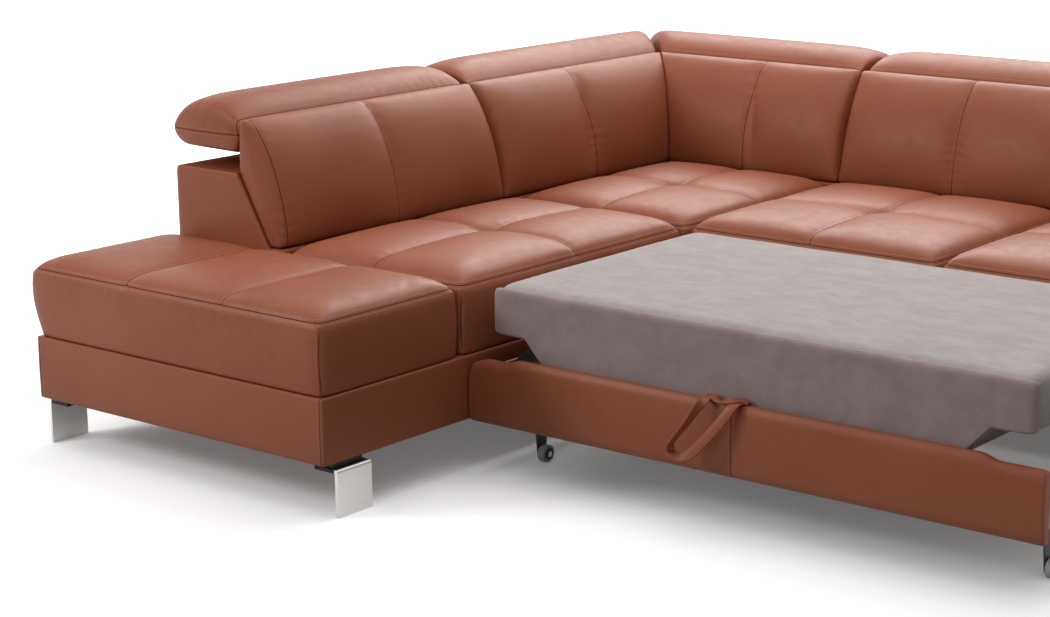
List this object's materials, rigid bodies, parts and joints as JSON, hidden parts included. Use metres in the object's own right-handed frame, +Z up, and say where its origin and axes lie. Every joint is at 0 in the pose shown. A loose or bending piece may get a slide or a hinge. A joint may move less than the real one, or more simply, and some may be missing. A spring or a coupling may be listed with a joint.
{
  "type": "corner sofa bed",
  "caption": "L-shaped leather corner sofa bed with a footstool end, crowned seats, folding headrests and a pull-out bed drawer with a raised mattress.",
  "frame": {"origin": "centre of the sofa's footprint on the floor", "axes": "+X along the main sofa away from the corner, +Y towards the main sofa's back, +Z up"},
  "size_m": [2.66, 2.409, 0.7883],
  "materials": {
    "leather": "smooth pull-up leather",
    "mattress_fabric": "short-pile microfibre",
    "timber": "raw plywood",
    "brushed_steel": "brushed",
    "bright_steel": "zinc plated",
    "black_steel": "black powder coat",
    "black_plastic": "matte",
    "pale_nylon": "satin"
  },
  "bodies": {
    "sofa": {"back_cushion_1": "leather", "back_cushion_2": "leather", "back_cushion_3": "leather", "back_cushion_4": "leather", "back_cushion_5": "leather", "back_feet": "black_plastic", "back_ribs": "timber", "corner_back_cover": "leather", "corner_plinth_cover": "leather", "corner_plinth_frame": "timber", "corner_seat": "leather", "drawer_runners": "black_steel", "footstool_seat": "leather", "headrest_brackets": "black_steel", "headrest_pins": "bright_steel", "leg_spacers": "black_plastic", "main_back_cover": "leather", "main_gables": "timber", "main_plinth_cover": "leather", "main_seat_left": "leather", "main_seat_right": "leather", "module_connectors": "black_steel", "plate_legs": "brushed_steel", "seat_boards": "timber", "sidearm_cover": "leather", "sidearm_frame": "timber", "sidearm_pad": "leather", "wing_back_cover": "leather", "wing_plinth_cover": "leather", "wing_plinth_frame": "timber", "wing_seat": "leather"},
    "headrest_1_pad": {"headrest_1": "leather", "headrest_1_arms": "black_steel"},
    "headrest_2_pad": {"headrest_2": "leather", "headrest_2_arms": "black_steel"},
    "headrest_3_pad": {"headrest_3": "leather", "headrest_3_arms": "black_steel"},
    "headrest_4_pad": {"headrest_4": "leather", "headrest_4_arms": "black_steel"},
    "headrest_5_pad": {"headrest_5": "leather", "headrest_5_arms": "black_steel"},
    "bed_drawer": {"drawer_front_cover": "leather", "drawer_front_board": "timber", "drawer_rails": "black_steel", "drawer_glides": "pale_nylon", "castor_carriers": "black_steel", "castor_brackets": "black_steel", "castor_axles": "bright_steel", "lift_drawer_pins": "bright_steel", "pull_strap": "leather"},
    "castor_left": {"castor_wheel_left": "pale_nylon"},
    "castor_right": {"castor_wheel_right": "pale_nylon"},
    "lift_front": {"lift_arms_front": "black_steel"},
    "lift_rear": {"lift_arms_rear": "black_steel"},
    "bed_platform": {"mattress": "mattress_fabric", "mattress_keel": "mattress_fabric", "mattress_deck": "timber", "lift_deck_brackets": "black_steel", "lift_deck_pins": "bright_steel"}
  },
  "joints": [
    {"name": "headrest_1_tilt", "type": "hinge", "parent": "sofa", "child": "headrest_1_pad", "pos_m": [-1.075, -0.3305, 0.733], "axis": [0, 1, 0], "range_deg": [0, 60]},
    {"name": "headrest_2_tilt", "type": "hinge", "parent": "sofa", "child": "headrest_2_pad", "pos_m": [-1.075, -0.3305, 0.733], "axis": [0, 1, 0], "range_deg": [0, 12]},
    {"name": "headrest_3_tilt", "type": "hinge", "parent": "sofa", "child": "headrest_3_pad", "pos_m": [0.34, 0.9495, 0.733], "axis": [1, 0, 0], "range_deg": [0, 12]},
    {"name": "headrest_4_tilt", "type": "hinge", "parent": "sofa", "child": "headrest_4_pad", "pos_m": [0.34, 0.9495, 0.733], "axis": [1, 0, 0], "range_deg": [0, 60]},
    {"name": "headrest_5_tilt", "type": "hinge", "parent": "sofa", "child": "headrest_5_pad", "pos_m": [0.34, 0.9495, 0.733], "axis": [1, 0, 0], "range_deg": [0, 60]},
    {"name": "bed_slide", "type": "slide", "parent": "sofa", "child": "bed_drawer", "axis": [0, 1, 0], "range_m": [0, 0.015]},
    {"name": "castor_left_spin", "type": "hinge", "parent": "bed_drawer", "child": "castor_left", "pos_m": [-0.2585, -0.5875, 0.0205], "axis": [1, 0, 0], "range_deg": [-42, 0]},
    {"name": "castor_right_spin", "type": "hinge", "parent": "bed_drawer", "child": "castor_right", "pos_m": [1.043, -0.5875, 0.0205], "axis": [1, 0, 0], "range_deg": [-42, 0]},
    {"name": "bed_lift", "type": "hinge", "parent": "bed_drawer", "child": "lift_front", "pos_m": [0.372, -0.6595, 0.211], "axis": [1, 0, 0], "range_deg": [-34.5, 0]},
    {"name": "rear_arm_swing", "type": "hinge", "parent": "bed_drawer", "child": "lift_rear", "pos_m": [0.372, -0.2995, 0.211], "axis": [1, 0, 0], "range_deg": [-34.5, 0]},
    {"name": "platform_level", "type": "hinge", "parent": "lift_front", "child": "bed_platform", "pos_m": [0.372, -0.37301, 0.3], "axis": [1, 0, 0], "range_deg": [0, 34.5]}
  ],
  "couplings": [
    {"joint": "castor_left_spin", "follows": "bed_slide", "rad_per_m": -48.781},
    {"joint": "castor_right_spin", "follows": "bed_slide", "rad_per_m": -48.781},
    {"joint": "rear_arm_swing", "follows": "bed_lift", "ratio": 1},
    {"joint": "platform_level", "follows": "bed_lift", "ratio": -1}
  ]
}
